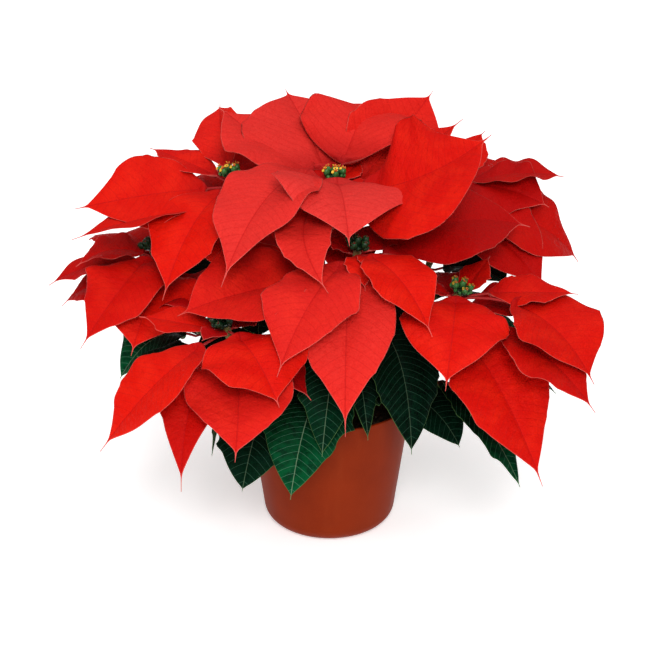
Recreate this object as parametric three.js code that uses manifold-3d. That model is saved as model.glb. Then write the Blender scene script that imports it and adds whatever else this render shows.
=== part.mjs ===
// A red poinsettia growing in a tapered plastic pot, as one rigid object.
// Units are millimetres, +Z is up, and the origin is the centre of the pot's flat base.
// Azimuths are in degrees about Z: 0 points along +X (right), -90 towards the front.
import * as THREE from "three";
import { mergeVertices } from "three/addons/utils/BufferGeometryUtils.js";
import Module from "manifold-3d";

const wasm = await Module();
wasm.setup();

// ---------------------------------------------------------------- driving sizes
const DEG = Math.PI / 180;
const GAP = 0.3;
const WELD = 1e-4;
const ROUND_SEGMENTS = 28;
const POT = {
  height: 115,
  topRadius: 70,
  baseRadius: 56,
  corner: 14,
  wall: 2.2,
  floor: 3,
  lip: 1.1,
  outerSteps: 5,
  innerSteps: 4,
  drainRadius: 5,
  drainCircle: 27,
  drainCount: 6,
  drainSides: 12,
};
const SOIL = { depthBelowRim: 15, rimBand: 0.75, innerRing: 0.45, holeFloor: 62 };
// The soil's lumps: their height, and how fast they come and go each way across it.
const LUMPS = { height: 2.2, alongX: 0.21, alongY: 0.17, shift: 1.3, slant: 0.33, slantShare: 0.5 };
const TRUNK = { radius: 5.5, bottom: 64, top: 122, sides: 10 };
// A branch sets out low and far, and comes up under its head.
const BRANCH = {
  radius: 3.1,
  belowTrunkTop: 8,
  sides: 6,
  steps: 5,
  outShare: 0.5,
  climbShare: 0.18,
  underShare: 0.5,
};
const AXIS = { radius: 4.2, length: 56, aboveHead: 2, sides: 8 };
const CUPS = {
  count: 6,
  radius: 2.8,
  height: 7,
  sides: 5,
  circle: 6,
  sunk: 1.4,
  stagger: 0.6,
  staggerRate: 2.3,
  turnByHead: 0.7,
  middleExtra: 1.5,
  mouthShare: 0.8,
  gland: 2,
  glandOut: 0.9,
  glandUp: 0.8,
  baseRadius: 7,
  baseHeight: 3,
};

// A blade's thickness, its stalk, and the keel that its midrib raises on the under side.
const BLADE = { thickness: 0.9, stalkHalf: 1.35, tipHalf: 0.5, midribDepth: 0.5, stalkShare: 0.16 };
// Stations along a blade, from the stalk's end to the tip.
const STATIONS = [0, 0.14, 0.36, 0.58, 0.81, 1];
const LOBE = { at: 0.42, span: 0.2 };
const RIPPLE = { share: 0.08, rate: 7, fullBy: 0.2 };
const ROLL_FULL_BY = 0.4;
// An outline's body ends short of the tip, skew moves its widest place towards the stalk, and
// fullness and taper say how round its two ends are.
const BRACT = {
  fold: 8,
  phase: 1.7,
  outline: { bodyEnd: 0.93, skew: 0.93, fullness: 0.8, taper: 0.3 },
};
const LEAF = {
  fold: 10,
  phase: 2.1,
  outline: { bodyEnd: 0.97, skew: 0.95, fullness: 0.62, taper: 0.15 },
  standOff: 3 * GAP,
};

const FINISHES = {
  pot: { color: "#8f3a1e", roughness: 0.45 },
  soil: { color: "#2b1d14", roughness: 0.95 },
  stem: { color: "#5d6b2e", roughness: 0.6 },
  bract: { color: "#d81e12", roughness: 0.55 },
  cyathia: { color: "#4c8a3c", roughness: 0.5 },
  leaf: { color: "#0c4a2c", roughness: 0.5 },
};

// ---------------------------------------------------------------- the plant's layout
// Each flower head: the point where its bracts meet, and the axis's lean away from upright.
const HEADS = {
  1: { at: [-83, 73, 280], lean: 14 },
  2: { at: [4, 52, 285], lean: 6 },
  3: { at: [22, -27, 255], lean: 8 },
  4: { at: [103, -37, 222], lean: 22 },
  5: { at: [-82, -70, 208], lean: 22 },
  6: { at: [104, 100, 268], lean: 18 },
  7: { at: [-150, 62, 219], lean: 26 },
  8: { at: [-15, 150, 240], lean: 24 },
};

// Bracts of each head, one row a bract:
// [azimuth, reach, rise, width, arch, shoulder, roll, bend, attach, lobe]
// reach and rise lead from the head to the tip, arch is the height of the midrib's control
// point, shoulder its share of the reach, roll tips the left edge up in degrees, bend bows the
// midrib to the left, attach is how far down the axis the stalk sprouts, lobe is a share of width.
// A bract that isn't the usual one has its fold in degrees and its stalk's share of it as well.
const USUAL_COLUMNS = 10;
const BRACTS = {
  1: [
    [-171, 132, -20, 79, 4, 0.38, -28, 7, 8, 0, 8, 0.2],
    [146, 87, 10, 42, 14, 0.5, 0, 0, 6, 0, 8, 0.18],
    [97.5, 106, 32, 43, 25, 0.5, -30, 6, 5, 0, 24],
    [-117, 114, -68, 76, 14, 0.58, 4, 0, 10, 0.1, 8, 0.13],
    [-159, 139, -36, 51, 18, 0.5, 8, 20, 27, 0, 8, 0.24],
    [51, 84, 11, 70, 16, 0.55, 0, 0, 8, 0],
    [115, 118, -46, 78, 26, 0.6, 0, 0, 34, 0.1],
    [-84, 84, -66, 84, 14, 0.55, 0, 0, 36, 0.1],
    [-32, 84, -64, 76, 16, 0.55, 0, 0, 34, 0.1],
  ],
  2: [
    [143, 124, 40, 80, 30, 0.5, -2, 12, 6, 0],
    [111, 118, 45, 119, 30, 0.5, 0, 0, 8, 0],
    [66, 104, 28, 109, 65, 0.52, 0, 0, 9, 0],
    [42, 114, 54, 84, 42, 0.62, 38, 0, 24, 0],
    [-14, 130, 51, 139, 14, 0.58, 30, -50, 6, 0, 8, 0.2],
    [-84, 110, -14, 104, 31, 0.5, -8, 0, 5, 0.16, 12],
    [-92, 142, -40, 46, 12, 0.6, 0, -44, 10, 0],
    [-60, 58, -4, 26, 12, 0.5, 0, 0, 5, 0],
    [-30, 48, 3, 20, 10, 0.5, 0, 0, 5, 0],
    [150, 34, 8, 18, 8, 0.5, 0, 0, 5, 0],
    [55, 40, 6, 24, 8, 0.5, 0, 0, 5, 0],
    [58, 100, -34, 78, 22, 0.6, 0, 0, 36, 0.1],
    [130, 92, -30, 72, 22, 0.6, 0, 0, 36, 0.1],
    [24, 119, 38, 76, 32, 0.5, 0, 0, 30, 0],
    [-127.5, 146, -46, 88, 58, 0.42, 0, -14, 6, 0, 8, 0.2],
    [-78, 72, -62, 56, 6, 0.55, 0, 0, 40, 0],
  ],
  3: [
    [-120, 124, -60, 78, 14, 0.55, 0, 0, 8, 0],
    [-95, 114, -108, 76, 10, 0.6, 0, -5, 6, 0],
    [-53, 95, -41, 57, 23, 0.63, 0, -6, 5, 0],
    [-168, 146, -44, 110, 15, 0.55, -11, 0, 30, 0, 8, 0.2],
    [18, 150, 2, 98, 54, 0.5, 20, 0, 22, 0.1],
    [-84, 54, -12, 26, 12, 0.5, 0, 0, 5, 0],
    [-62, 42, -5, 20, 10, 0.5, 0, 0, 5, 0],
    [150, 28, 6, 24, 8, 0.5, 0, 0, 6, 0],
    [62, 56, 4, 46, 6, 0.5, 0, 0, 6, 0],
  ],
  4: [
    [-1, 96, 0, 50, 11, 0.5, 4, 0, 5, 0, 8, 0.26],
    [50, 43, 19, 28, 8, 0.5, 0, 0, 6, 0, 8, 0.2],
    [-36, 126, -45, 92, 20, 0.53, 0, 24, 6, 0, 8, 0.34],
    [-41, 135, -62, 62, 26, 0.59, 0, -5, 26, 0, 8, 0.34],
    [-57, 116, -122, 79, 19, 0.65, 4, -19, 32, 0.08, 8, 0.24],
    [-99, 92, -42, 84, 19, 0.51, -2, 4, 5, 0],
    [170, 36, 8, 24, 10, 0.5, 0, 0, 6, 0],
    [20, 104, -40, 66, 20, 0.6, 0, 0, 24, 0],
    [100, 70, -10, 44, 8, 0.5, 0, 0, 10, 0],
  ],
  5: [
    [-146, 115, -77, 66, 14, 0.62, 0, 38, 6, 0, 8, 0.22],
    [-108.4, 99, -96, 44, 19, 0.6, 0, -18, 30, 0],
    [-84, 106, -64, 84, 10, 0.6, 0, 6, 26, 0],
    [-61, 91, -31, 88, 16, 0.6, 0, -5, 5, 0, 8, 0.22],
    [165, 72, 0, 46, 8, 0.5, 0, 0, 8, 0],
    [-122, 32, 0, 22, 8, 0.5, 0, 0, 6, 0],
    [40, 36, 4, 26, 5, 0.5, 0, 0, 5, 0],
    [-24, 74, -50, 52, 6, 0.55, 0, 0, 24, 0],
  ],
  6: [
    [65, 82, 20, 44, 10, 0.52, 4, 12, 6, 0],
    [2, 98, 2, 64, 18, 0.55, 0, 0, 6, 0],
    [-22, 88, -12, 68, 13, 0.55, 20, 0, 5, 0],
    [-17, 114, -62, 90, 26, 0.75, 8, -33, 24, 0],
    [-50, 120, -66, 82, 28, 0.63, 8, -24, 28, 0],
    [45, 112, -24, 80, 26, 0.6, 0, 0, 20, 0.1],
    [90, 116, -30, 84, 28, 0.6, 0, 0, 26, 0],
    [130, 84, 6, 50, 14, 0.5, 0, 0, 8, 0],
  ],
  7: [
    [-97, 96, -54, 92, 14, 0.6, 4, 8, 20, 0],
    [-122, 102, -52, 70, 21, 0.6, 0, 26, 5, 0],
    [-165, 66, -8, 56, 27, 0.5, 0, 0, 10, 0],
    [-176, 90, -30, 56, 18, 0.55, 0, -5, 20, 0],
    [-177, 80, -50, 67, 22, 0.6, 0, 5, 32, 0],
    [118, 98, -30, 70, 20, 0.6, 0, 0, 10, 0.1],
    [95, 96, -40, 66, 24, 0.6, 0, 0, 26, 0],
    [-54, 104, -28, 80, 20, 0.56, 12, 8, 28, 0],
  ],
  8: [
    [90, 118, -30, 88, 22, 0.55, 0, 0, 6, 0.1],
    [140, 108, -34, 80, 18, 0.55, 0, 0, 8, 0],
    [40, 110, -36, 82, 18, 0.55, 0, 0, 10, 0],
    [112, 112, -78, 76, 22, 0.6, 0, 0, 32, 0],
    [66, 108, -80, 74, 22, 0.6, 0, 0, 34, 0],
    [170, 84, -20, 56, 18, 0.55, 0, 0, 20, 0],
    [10, 80, -20, 54, 18, 0.55, 0, 0, 22, 0],
  ],
};

// Green leaves, one row a leaf:
// [branch, share, tip x, tip y, tip z, width, arch, shoulder, roll, bend, lobe]
// share is how far along the branch the stalk sprouts.
const LEAVES = [
  [7, 0.72, -177, 8, 124, 58, 26, 0.55, 0, 0, 0.1],
  [5, 0.86, -97, -54, 84, 40, 20, 0.5, 0, 3, 0.1],
  [5, 0.58, -70, -104, 78, 57, 5, 0.5, -15, 0, 0.12],
  [3, 0.3, -31, -120, 80, 67, 36, 0.6, 0, -1, 0.14],
  [3, 0.8, -6, -110, 113, 46, 20, 0.6, 0, 0, 0.1],
  [3, 0.66, 31, -82, 113, 24, 24, 0.6, 0, 0, 0.1],
  [3, 0.95, 66, -86, 102, 65, 15, 0.5, 6, 25, 0.14],
  [4, 0.42, 107, -55, 92, 50, 8, 0.6, 10, 4, 0.1],
  [4, 0.74, 152, -107, 84, 33, 0, 0.6, 0, 3, 0.06],
  [4, 0.76, 190, -8, 118, 62, 16, 0.6, -2, 0, 0.14],
  [6, 0.45, 178, 62, 130, 62, 26, 0.55, 0, 0, 0.14],
  [6, 0.62, 142, 150, 130, 60, 16, 0.55, 0, 0, 0.14],
  [8, 0.4, 50, 162, 118, 60, 26, 0.55, 0, 0, 0.14],
  [8, 0.62, -36, 190, 112, 60, 10, 0.55, 0, 0, 0.14],
  [1, 0.4, -56, 136, 118, 62, 26, 0.55, 0, 0, 0.14],
  [7, 0.5, -126, 122, 114, 60, 22, 0.55, -4, 3, 0.14],
  [2, 0.8, -12, -22, 190, 54, 20, 0.55, 0, 0, 0.12],
  [2, 0.7, 78, -6, 188, 68, 18, 0.55, 0, 0, 0.12],
  [1, 0.7, -58, -22, 176, 64, 18, 0.55, 0, 0, 0.12],
  [2, 0.9, 30, 128, 206, 62, 20, 0.55, 0, 0, 0.12],
  [2, 0.75, -62, 118, 186, 62, 22, 0.55, 0, 0, 0.12],
  [6, 0.85, 150, 44, 196, 62, 20, 0.55, 0, 0, 0.12],
  [1, 0.75, -128, 114, 204, 58, 8, 0.55, -8, 0, 0.12],
  [5, 0.92, -92, 6, 172, 54, 18, 0.55, 0, 0, 0.12],
  [4, 0.92, 158, 8, 160, 68, 20, 0.55, 0, 0, 0.12],
  [3, 0.55, -54, -74, 150, 56, 18, 0.55, 0, 0, 0.12],
  [4, 0.26, 40, -70, 138, 46, 22, 0.55, 4, -3, 0.12],
  [2, 0.86, 92, 52, 200, 46, 6, 0.55, 0, 0, 0.12],
  [4, 0.95, 112, -92, 140, 24, 10, 0.6, -8, 11, 0.12],
  [5, 0.95, -158, -24, 160, 50, 14, 0.55, -2, 0, 0.12],
];

// ---------------------------------------------------------------- solids and meshes
// A three.js geometry as a manifold-3d solid.
function solid(geometry) {
  const bare = geometry.index ? geometry.toNonIndexed() : geometry.clone();
  bare.deleteAttribute("normal");
  bare.deleteAttribute("uv");
  const merged = mergeVertices(bare, WELD);
  const mesh = new wasm.Mesh({
    numProp: 3,
    vertProperties: new Float32Array(merged.attributes.position.array),
    triVerts: new Uint32Array(merged.index.array),
  });
  return new wasm.Manifold(mesh);
}

// A manifold-3d solid as a three.js geometry.
function geometryOf(made) {
  const mesh = made.getMesh();
  const geometry = new THREE.BufferGeometry();
  geometry.setAttribute("position", new THREE.BufferAttribute(mesh.vertProperties, 3));
  geometry.setIndex(new THREE.BufferAttribute(mesh.triVerts, 1));
  const flat = geometry.toNonIndexed();
  flat.computeVertexNormals();
  return flat;
}

function fuse(geometries) {
  return geometryOf(geometries.map(solid).reduce((all, next) => all.add(next)));
}

// What is left of a geometry once each of the others is cut from it.
function cutFrom(geometry, others) {
  return geometryOf(others.map(solid).reduce((left, next) => left.subtract(next), solid(geometry)));
}

function node(name, geometry, finish) {
  const material = new THREE.MeshStandardMaterial({ ...finish, metalness: 0 });
  const mesh = new THREE.Mesh(geometry, material);
  mesh.name = name;
  return mesh;
}

function smoothstep(low, high, x) {
  const t = Math.min(1, Math.max(0, (x - low) / (high - low)));
  return t * t * (3 - 2 * t);
}

// A cylinder along Z, from the given height up.
function uprightCylinder(topRadius, bottomRadius, height, sides, bottom) {
  const cylinder = new THREE.CylinderGeometry(topRadius, bottomRadius, height, sides);
  cylinder.rotateX(Math.PI / 2);
  cylinder.translate(0, 0, bottom + height / 2);
  return cylinder;
}

// A profile of radius and height turned about Z.
function uprightLathe(profile) {
  const lathe = new THREE.LatheGeometry(profile, ROUND_SEGMENTS);
  lathe.rotateX(Math.PI / 2);
  return lathe;
}

// A round bar along a curve, with flat closed ends.
function bar(curve, radius, sides, steps) {
  const section = new THREE.Shape();
  for (let i = 0; i < sides; i += 1) {
    const turn = (i / sides) * 2 * Math.PI;
    const point = [radius * Math.cos(turn), radius * Math.sin(turn)];
    if (i === 0) section.moveTo(...point);
    else section.lineTo(...point);
  }
  section.closePath();
  return new THREE.ExtrudeGeometry(section, { steps, extrudePath: curve, curveSegments: 1 });
}

// ---------------------------------------------------------------- blades
// Half a blade's width, as a share of its widest, at a share t of its own length.
function halfWidthShare(t, lobe, { bodyEnd, skew, fullness, taper }) {
  const along = Math.min(t / bodyEnd, 1);
  const swell = Math.max(Math.sin(Math.PI * Math.pow(along, skew)), 0);
  const corner = Math.max(0, 1 - Math.abs(t - LOBE.at) / LOBE.span);
  return Math.pow(swell, fullness + taper * t) + lobe * corner;
}

// The horizontal direction to the left of an azimuth.
function leftOf(azimuth) {
  return new THREE.Vector3(-Math.sin(azimuth), Math.cos(azimuth), 0);
}

// The midrib as a curve: out along the azimuth, over the arch and down or up to the tip.
function midrib(foot, tip, azimuth, arch, shoulder, bend) {
  const control = new THREE.Vector3().lerpVectors(foot, tip, shoulder);
  control.z = foot.z + arch;
  control.addScaledVector(leftOf(azimuth), bend);
  return new THREE.QuadraticBezierCurve3(foot, control, tip);
}

// A closed thin solid along a midrib, folded a little along it and rolled about it.
function bladeGeometry(curve, azimuth, { width, roll, lobe, fold, stalk, phase, outline }) {
  const shares = [0, ...STATIONS.map((t) => stalk + (1 - stalk) * t)];
  const rings = shares.map((u) => {
    const t = Math.max(0, (u - stalk) / (1 - stalk));
    const isStalk = t === 0;
    const isInner = !isStalk && t < 1;
    const spread = (width / 2) * halfWidthShare(t, lobe, outline);
    const half = isStalk
      ? BLADE.stalkHalf
      : Math.max(BLADE.tipHalf, BLADE.stalkHalf * (1 - t), spread);
    const thick = isStalk ? BLADE.stalkHalf : BLADE.thickness / 2;
    const keel = thick + (isInner ? BLADE.midribDepth : 0);
    const ahead = curve.getTangent(u);
    const left = leftOf(azimuth);
    left.addScaledVector(ahead, -left.dot(ahead)).normalize();
    left.applyAxisAngle(ahead, roll * DEG * smoothstep(0, ROLL_FULL_BY, u));
    const up = new THREE.Vector3().crossVectors(ahead, left);
    const lift = half * Math.sin(fold * DEG);
    const side = half * Math.cos(fold * DEG);
    const wave = Math.sin(RIPPLE.rate * t + phase) * smoothstep(0, RIPPLE.fullBy, t);
    const ripple = RIPPLE.share * half * wave;
    const at = (v, h) => curve.getPoint(u).addScaledVector(left, v).addScaledVector(up, h);
    return [
      at(-side, lift - ripple + thick),
      at(0, thick),
      at(side, lift + ripple + thick),
      at(side, lift + ripple - thick),
      at(0, -keel),
      at(-side, lift - ripple - thick),
    ];
  });
  return stitch(rings);
}

// Joins rings of six points into one closed surface, the two faces split alike.
function stitch(rings) {
  const points = [];
  const triangle = (a, b, c) => points.push(...a.toArray(), ...b.toArray(), ...c.toArray());
  const quad = (a, b, c, d) => {
    triangle(a, b, c);
    triangle(a, c, d);
  };
  for (let i = 0; i + 1 < rings.length; i += 1) {
    const near = rings[i];
    const far = rings[i + 1];
    quad(near[0], far[0], far[1], near[1]);
    quad(near[2], near[1], far[1], far[2]);
    quad(near[5], near[4], far[4], far[5]);
    quad(near[3], far[3], far[4], near[4]);
    quad(near[3], near[2], far[2], far[3]);
    quad(near[5], far[5], far[0], near[0]);
  }
  const cap = ([a, b, c, d, e, f]) => {
    quad(a, b, e, f);
    quad(b, c, d, e);
  };
  cap(rings[0]);
  cap([...rings[rings.length - 1]].reverse());
  const geometry = new THREE.BufferGeometry();
  geometry.setAttribute("position", new THREE.Float32BufferAttribute(points, 3));
  return geometry;
}

// ---------------------------------------------------------------- pot and soil
function potInnerRadius(z) {
  const taper = (POT.topRadius - POT.baseRadius) / POT.height;
  return POT.baseRadius + taper * z - POT.wall;
}

// A quarter-round from the pot's flat base up to its tapered side.
function cornerArc(flatRadius, floorHeight, radius, steps) {
  const taper = Math.atan((POT.topRadius - POT.baseRadius) / POT.height);
  return Array.from({ length: steps + 1 }, (_, i) => {
    const turn = (i / steps) * (Math.PI / 2 - taper);
    const across = flatRadius + radius * Math.sin(turn);
    return new THREE.Vector2(across, floorHeight + radius * (1 - Math.cos(turn)));
  });
}

function drainHole(index) {
  const turn = ((index + 0.5) / POT.drainCount) * 2 * Math.PI;
  const { drainRadius, drainSides, floor } = POT;
  const hole = uprightCylinder(drainRadius, drainRadius, 3 * floor, drainSides, -floor);
  hole.translate(POT.drainCircle * Math.cos(turn), POT.drainCircle * Math.sin(turn), 0);
  return hole;
}

function potGeometry() {
  const flat = POT.baseRadius - POT.corner;
  const rim = POT.height;
  const profile = [
    new THREE.Vector2(0, 0),
    ...cornerArc(flat, 0, POT.corner, POT.outerSteps),
    new THREE.Vector2(POT.topRadius, rim - POT.lip),
    new THREE.Vector2(POT.topRadius - POT.lip / 3, rim - POT.lip / 3),
    new THREE.Vector2(POT.topRadius - POT.lip, rim),
    new THREE.Vector2(potInnerRadius(rim), rim - POT.lip / 2),
    ...cornerArc(flat, POT.floor, POT.corner - POT.wall, POT.innerSteps).reverse(),
    new THREE.Vector2(0, POT.floor),
  ];
  const drains = Array.from({ length: POT.drainCount }, (_, index) => drainHole(index));
  return cutFrom(uprightLathe(profile), drains);
}

// The soil's lumps, flattened out where it meets the pot.
function lumpHeight(x, y, edge) {
  const inside = 1 - smoothstep(SOIL.rimBand, 1, Math.hypot(x, y) / edge);
  const lump = Math.sin(LUMPS.alongX * x + LUMPS.shift) * Math.cos(LUMPS.alongY * y);
  const slanting = LUMPS.slantShare * Math.sin(LUMPS.slant * (x - y));
  return LUMPS.height * inside * (lump + slanting);
}

function soilGeometry() {
  const top = POT.height - SOIL.depthBelowRim;
  const edge = potInnerRadius(top) - GAP;
  const flat = POT.baseRadius - POT.corner - GAP;
  const profile = [
    new THREE.Vector2(0, POT.floor + GAP),
    ...cornerArc(flat, POT.floor + GAP, POT.corner - POT.wall, POT.innerSteps),
    new THREE.Vector2(edge, top),
    new THREE.Vector2(edge * SOIL.rimBand, top),
    new THREE.Vector2(edge * SOIL.innerRing, top),
    new THREE.Vector2(0, top),
  ];
  const lathe = uprightLathe(profile);
  const position = lathe.attributes.position;
  for (let i = 0; i < position.count; i += 1) {
    if (Math.abs(position.getZ(i) - top) < GAP) {
      position.setZ(i, top + lumpHeight(position.getX(i), position.getY(i), edge));
    }
  }
  const radius = TRUNK.radius + GAP;
  const hole = uprightCylinder(radius, radius, top, TRUNK.sides, SOIL.holeFloor);
  return cutFrom(lathe, [hole]);
}

// ---------------------------------------------------------------- stems
// Where a head's axis points: up, leaning away from the middle of the plant.
function axisOf(head) {
  const [x, y] = head.at;
  const lean = head.lean * DEG;
  const outwards = new THREE.Vector3(x, y, 0).normalize();
  return outwards.multiplyScalar(Math.sin(lean)).setZ(Math.cos(lean));
}

// A point on a head's axis, by its distance above the head.
function onAxis(head, above) {
  return new THREE.Vector3(...head.at).addScaledVector(axisOf(head), above);
}

// A branch's centre line, from the trunk's top to the foot of its head's axis.
function branchCurve(head) {
  const foot = onAxis(head, -AXIS.length - GAP);
  const start = new THREE.Vector3(0, 0, TRUNK.top - BRANCH.belowTrunkTop);
  const climb = foot.z - start.z;
  const out = new THREE.Vector3(foot.x, foot.y, 0).multiplyScalar(BRANCH.outShare);
  out.z = start.z + BRANCH.climbShare * climb;
  const under = foot.clone().addScaledVector(axisOf(head), -BRANCH.underShare * climb);
  return new THREE.CubicBezierCurve3(start, out, under, foot);
}

function stemsGeometry() {
  const trunkLine = new THREE.LineCurve3(
    new THREE.Vector3(0, 0, TRUNK.bottom),
    new THREE.Vector3(0, 0, TRUNK.top),
  );
  const trunk = bar(trunkLine, TRUNK.radius, TRUNK.sides, 1);
  const branches = Object.values(HEADS).map((head) =>
    bar(branchCurve(head), BRANCH.radius, BRANCH.sides, BRANCH.steps),
  );
  return fuse([trunk, ...branches]);
}

// ---------------------------------------------------------------- heads
// One bract, from its row in its head's table.
function bract(head, row, index) {
  const [azimuthDegrees, reach, rise, width, arch, shoulder, roll, bend, attach, lobe] = row;
  const [fold = BRACT.fold, stalk = BLADE.stalkShare] = row.slice(USUAL_COLUMNS);
  const azimuth = azimuthDegrees * DEG;
  const [x, y, z] = head.at;
  const across = reach * Math.cos(azimuth);
  const along = reach * Math.sin(azimuth);
  const tip = new THREE.Vector3(x + across, y + along, z + rise);
  const curve = midrib(onAxis(head, -attach), tip, azimuth, arch, shoulder, bend);
  const phase = BRACT.phase * index;
  return bladeGeometry(curve, azimuth, { ...BRACT, width, roll, lobe, fold, stalk, phase });
}

// A whorl of bracts fused to the upper end of its stem.
function whorlGeometry(head, rows) {
  const line = new THREE.LineCurve3(onAxis(head, -AXIS.length), onAxis(head, AXIS.aboveHead));
  const axis = bar(line, AXIS.radius, AXIS.sides, 1);
  return fuse([axis, ...rows.map((row, index) => bract(head, row, index))]);
}

// A small green cup with a gland on its rim.
function cup(turn, circle, bottom, height) {
  const { radius, mouthShare, sides } = CUPS;
  const wall = uprightCylinder(radius * mouthShare, radius, height, sides, bottom);
  const gland = new THREE.TetrahedronGeometry(CUPS.gland, 0);
  const out = radius * CUPS.glandOut;
  gland.rotateZ(turn);
  gland.translate(out * Math.cos(turn), out * Math.sin(turn), bottom + CUPS.glandUp * height);
  return [wall, gland].map((piece) =>
    piece.translate(circle * Math.cos(turn), circle * Math.sin(turn), 0),
  );
}

// The cups clustered on the end of a head's axis, one in the middle and the rest around it.
function cyathiaGeometry(head, phase) {
  const { baseRadius, baseHeight, count } = CUPS;
  const pieces = [uprightCylinder(baseRadius, AXIS.radius, baseHeight, AXIS.sides, 0)];
  const bottom = baseHeight - CUPS.sunk;
  pieces.push(...cup(phase, 0, bottom, CUPS.height + CUPS.middleExtra));
  for (let i = 1; i < count; i += 1) {
    const turn = (i / (count - 1)) * 2 * Math.PI + CUPS.turnByHead * phase;
    const stagger = CUPS.stagger * Math.sin(CUPS.staggerRate * i + phase);
    pieces.push(...cup(turn, CUPS.circle, bottom + stagger, CUPS.height));
  }
  const geometry = fuse(pieces);
  const upright = new THREE.Vector3(0, 0, 1);
  geometry.applyQuaternion(new THREE.Quaternion().setFromUnitVectors(upright, axisOf(head)));
  geometry.translate(...onAxis(head, AXIS.aboveHead + GAP).toArray());
  return geometry;
}

// ---------------------------------------------------------------- leaves
// One leaf, from its row in the table, its stalk's foot just clear of the branch.
function leaf(row, index) {
  const [branch, share, tipX, tipY, tipZ, width, arch, shoulder, roll, bend, lobe] = row;
  const branchLine = branchCurve(HEADS[branch]);
  const foot = branchLine.getPoint(share);
  const along = branchLine.getTangent(share);
  const tip = new THREE.Vector3(tipX, tipY, tipZ);
  const azimuth = Math.atan2(tip.y - foot.y, tip.x - foot.x);
  const away = new THREE.Vector3(Math.cos(azimuth), Math.sin(azimuth), 0);
  away.addScaledVector(along, -away.dot(along)).normalize();
  foot.addScaledVector(away, BRANCH.radius + BLADE.stalkHalf + LEAF.standOff);
  const curve = midrib(foot, tip, azimuth, arch, shoulder, bend);
  const phase = LEAF.phase * index;
  const stalk = BLADE.stalkShare;
  return bladeGeometry(curve, azimuth, { ...LEAF, width, roll, lobe, stalk, phase });
}

// ---------------------------------------------------------------- the whole plant
const poinsettia = new THREE.Group();
poinsettia.add(node("pot", potGeometry(), FINISHES.pot));
poinsettia.add(node("soil", soilGeometry(), FINISHES.soil));
poinsettia.add(node("stems", stemsGeometry(), FINISHES.stem));
for (const [number, head] of Object.entries(HEADS)) {
  const whorl = whorlGeometry(head, BRACTS[number]);
  const cups = cyathiaGeometry(head, Number(number));
  poinsettia.add(node("bracts_" + number, whorl, FINISHES.bract));
  poinsettia.add(node("cyathia_" + number, cups, FINISHES.cyathia));
}
LEAVES.forEach((row, index) => {
  const name = "leaf_" + String(index + 1).padStart(2, "0");
  poinsettia.add(node(name, leaf(row, index), FINISHES.leaf));
});

export default poinsettia;
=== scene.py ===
"""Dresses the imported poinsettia: fine bracts, leaves, stems, flower cups, soil and pot.

Sizes in the tables are in millimetres, as in the part's own source, and MM turns them to metres.
+Z is up, +X is to the right of the view and -Y is towards it.
"""
import math
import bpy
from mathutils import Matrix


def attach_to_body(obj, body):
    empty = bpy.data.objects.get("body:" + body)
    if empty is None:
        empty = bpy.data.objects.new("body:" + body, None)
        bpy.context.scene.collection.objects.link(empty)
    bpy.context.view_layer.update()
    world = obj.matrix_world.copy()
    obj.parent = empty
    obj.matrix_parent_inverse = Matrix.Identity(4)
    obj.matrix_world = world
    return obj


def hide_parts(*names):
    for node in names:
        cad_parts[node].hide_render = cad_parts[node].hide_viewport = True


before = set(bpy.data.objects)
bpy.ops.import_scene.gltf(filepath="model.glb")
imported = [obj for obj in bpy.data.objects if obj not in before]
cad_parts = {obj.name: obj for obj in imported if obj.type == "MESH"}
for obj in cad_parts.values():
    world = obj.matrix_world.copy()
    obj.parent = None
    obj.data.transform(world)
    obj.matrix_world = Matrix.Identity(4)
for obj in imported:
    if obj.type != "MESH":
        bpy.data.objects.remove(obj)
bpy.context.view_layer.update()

from types import SimpleNamespace

import bpy
import numpy as np
from mathutils import Matrix

MM = 0.001
FULL_TURN = 2 * math.pi

# ---------------------------------------------------------------- sizes, as in the part
POT = {
    "height": 115, "top": 70, "base": 56, "corner": 14, "wall": 2.2, "floor": 3, "lip": 1.1,
    "drain_radius": 5, "drain_circle": 27, "drains": 6,
}
SOIL = {"below_rim": 15, "rim_band": 0.75}
# The lumps of the soil's top: waves along X and Y, and others on a slant.
LUMPS = {
    "height": 2.2, "along_x": 0.21, "along_y": 0.17, "shift": 1.3, "slant": 0.33, "slant_share": 0.5,
}
TRUNK = {"radius": 5.5, "bottom": 64, "top": 122}
BRANCH = {"radius": 3.1, "below_top": 8, "out_share": 0.5, "climb_share": 0.18, "under_share": 0.5}
AXIS = {"length": 56, "above_head": 2}
CUPS = {
    "count": 6, "circle": 6, "sunk": 1.4, "base": 3, "stagger": 0.6, "stagger_rate": 2.3,
    "turn_by_head": 0.7,
}
GAP = 0.3
STALK = 1.35
LEAF_STAND_OFF = 3 * GAP
# Where along a blade its lobes are, and how its ripple and its roll set in.
LOBE = {"at": 0.42, "span": 0.2}
RIPPLE = {"share": 0.08, "rate": 7, "full_by": 0.2}
ROLL_FULL_BY = 0.4

# Each flower head: the point where its bracts meet, and the axis's lean away from upright.
HEADS = {
    1: ((-83, 73, 280), 14),
    2: ((4, 52, 285), 6),
    3: ((22, -27, 255), 8),
    4: ((103, -37, 222), 22),
    5: ((-82, -70, 208), 22),
    6: ((104, 100, 268), 18),
    7: ((-150, 62, 219), 26),
    8: ((-15, 150, 240), 24),
}

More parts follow.
